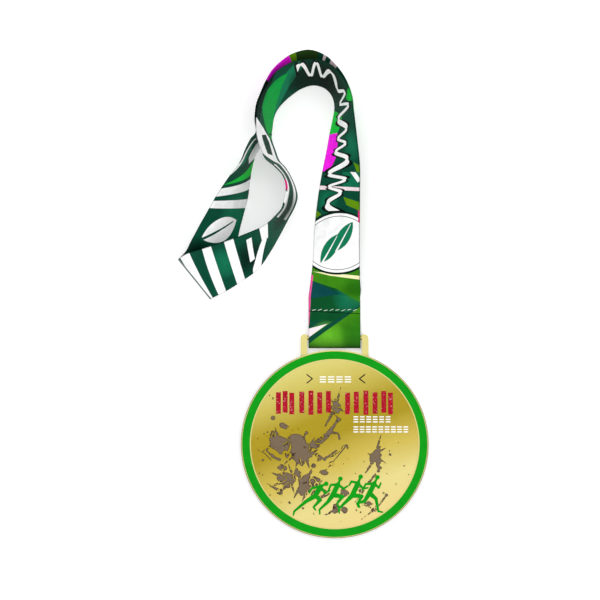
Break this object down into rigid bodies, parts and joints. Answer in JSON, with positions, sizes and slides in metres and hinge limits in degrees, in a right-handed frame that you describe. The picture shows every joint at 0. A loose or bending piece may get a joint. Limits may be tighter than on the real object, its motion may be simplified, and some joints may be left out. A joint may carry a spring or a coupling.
{
  "type": "finisher medal",
  "caption": "Round gold finisher medal with a green enamel border, swinging on a lug bar in the sewn loop of a printed neck ribbon.",
  "frame": {"origin": "centre of the disc on its flat back", "axes": "+Z out of the face, +Y from the disc's centre to the lug, +X to the right seen from the face"},
  "size_m": [0.1209, 0.2329, 0.025],
  "materials": {
    "gold_plate": "gold-plated zinc casting, satin face and polished lines",
    "green_enamel": "soft enamel, slightly domed",
    "taupe_enamel": "soft enamel, satin",
    "red_enamel": "soft enamel, worn and chipped",
    "white_enamel": "soft enamel",
    "dark_enamel": "soft enamel",
    "ribbon_satin": "heat-printed polyester satin with woven edges",
    "thread": "twisted polyester sewing thread"
  },
  "bodies": {
    "ribbon": {"ribbon_lug_bend": "ribbon_satin", "ribbon_loop_front": "ribbon_satin", "ribbon_loop_back": "ribbon_satin", "ribbon_tucked_end": "ribbon_satin", "ribbon_band_back": "ribbon_satin", "ribbon_band_front": "ribbon_satin", "ribbon_arch_rise_back": "ribbon_satin", "ribbon_arch_crown_back": "ribbon_satin", "ribbon_arch_fall_back": "ribbon_satin", "ribbon_arch_front": "ribbon_satin", "ribbon_left_branch": "ribbon_satin", "ribbon_right_branch": "ribbon_satin", "ribbon_lower_strip": "ribbon_satin", "ribbon_neck_fold": "ribbon_satin", "stitch_thread": "thread"},
    "medal": {"medal_body": "gold_plate", "border_enamel": "green_enamel", "mud_splash_enamel": "taupe_enamel", "runners_enamel": "green_enamel", "title_bars_enamel": "red_enamel", "legend_dashes_enamel": "white_enamel", "arrowheads_enamel": "dark_enamel"}
  },
  "joints": [
    {"name": "medal_swing", "type": "hinge", "parent": "ribbon", "child": "medal", "pos_m": [0, 0.05105, 0.00175], "axis": [-1, 0, 0], "range_deg": [-140, 140]}
  ]
}
